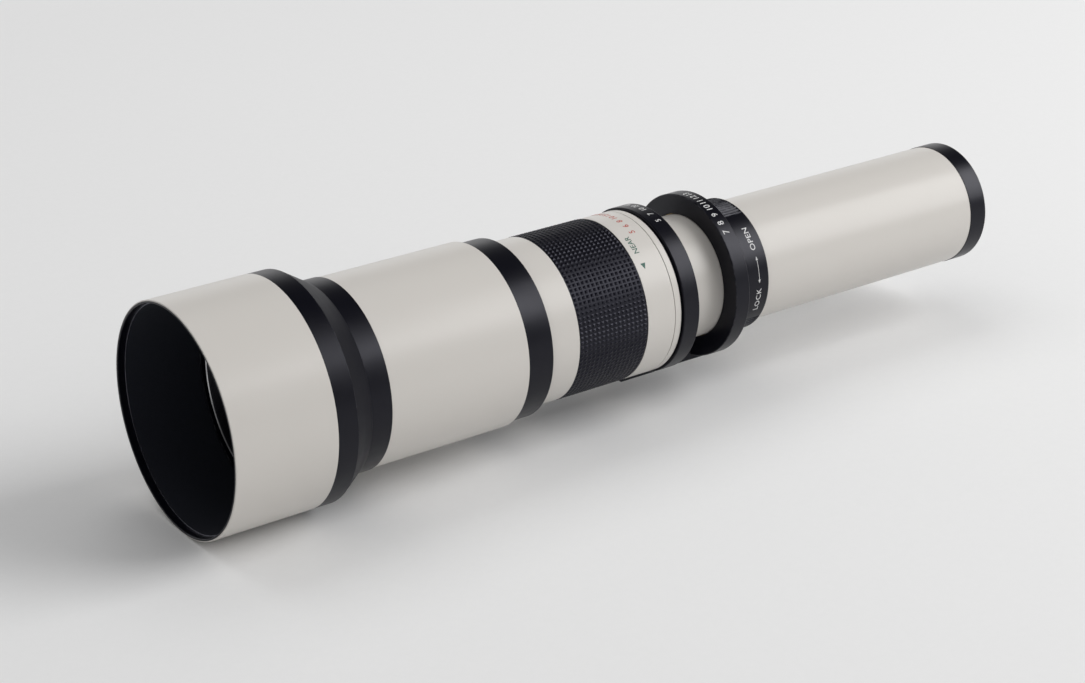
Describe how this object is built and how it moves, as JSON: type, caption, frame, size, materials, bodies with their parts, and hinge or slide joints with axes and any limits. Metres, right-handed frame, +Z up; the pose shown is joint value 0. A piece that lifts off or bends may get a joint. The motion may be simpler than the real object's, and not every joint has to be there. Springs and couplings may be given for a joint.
{
  "type": "camera zoom lens",
  "caption": "Long telephoto zoom lens with a deep hood, rubber focusing ring, lock ring, sliding zoom tube, tripod foot and screw-thread camera mount",
  "frame": {"origin": "on the optical axis, at the seat face of the screw-thread camera mount", "axes": "+X runs from the hood to the camera along the optical axis, +Z is up, and the tripod foot points down"},
  "size_m": [0.499, 0.117, 0.117],
  "materials": {
    "pale_enamel": "satin",
    "black_anodised": "satin",
    "grip_rubber": "matte",
    "flock": "matte",
    "optical_glass": "polished",
    "brass": "satin",
    "steel": "satin"
  },
  "bodies": {
    "barrel": {"front_barrel": "black_anodised", "objective_cell": "black_anodised", "objective_crown": "optical_glass", "objective_flint": "optical_glass", "objective_retainer": "black_anodised", "main_barrel": "pale_enamel", "mid_band": "black_anodised", "focus_guide_tube": "brass", "rear_fixed_ring": "pale_enamel", "index_ring": "black_anodised", "guide_felt": "flock", "collar_ring": "black_anodised", "lock_collet": "brass", "tripod_foot": "black_anodised", "tripod_bush": "steel", "foot_screws": "steel"},
    "hood": {"hood_tube": "pale_enamel", "hood_base": "black_anodised", "hood_lining": "flock"},
    "focus": {"focus_ring": "pale_enamel", "focus_grip": "grip_rubber"},
    "carrier": {"focus_carrier": "black_anodised", "focus_lens_front": "optical_glass", "focus_lens_rear": "optical_glass", "focus_retainer": "black_anodised", "drive_pins": "steel"},
    "lock": {"lock_ring": "black_anodised"},
    "zoom": {"zoom_tube": "pale_enamel", "tube_stop_ring": "black_anodised", "zoom_cell": "black_anodised", "zoom_lens_front": "optical_glass", "zoom_lens_rear": "optical_glass", "zoom_retainer": "black_anodised", "tube_baffles": "black_anodised", "rear_cell": "black_anodised", "relay_lens": "optical_glass", "rear_lens": "optical_glass", "rear_retainers": "black_anodised", "tail_ring": "black_anodised", "mount_ring": "black_anodised", "mount_screws": "steel"}
  },
  "joints": [
    {"name": "focus_turn", "type": "hinge", "parent": "barrel", "child": "focus", "pos_m": [-0.269, 0, 0], "axis": [1, 0, 0], "range_deg": [0, 270]},
    {"name": "focus_slide", "type": "slide", "parent": "barrel", "child": "carrier", "axis": [-1, 0, 0], "range_m": [0, 0.012]},
    {"name": "lock_turn", "type": "hinge", "parent": "barrel", "child": "lock", "pos_m": [-0.171, 0, 0], "axis": [-1, 0, 0], "range_deg": [0, 40]},
    {"name": "zoom_slide", "type": "slide", "parent": "barrel", "child": "zoom", "axis": [-1, 0, 0], "range_m": [0, 0.145]},
    {"name": "hood_slide", "type": "slide", "parent": "barrel", "child": "hood", "axis": [-1, 0, 0], "range_m": [0, 0.034]}
  ],
  "couplings": [
    {"joint": "focus_slide", "follows": "focus_turn", "m_per_rad": 0.002546}
  ]
}
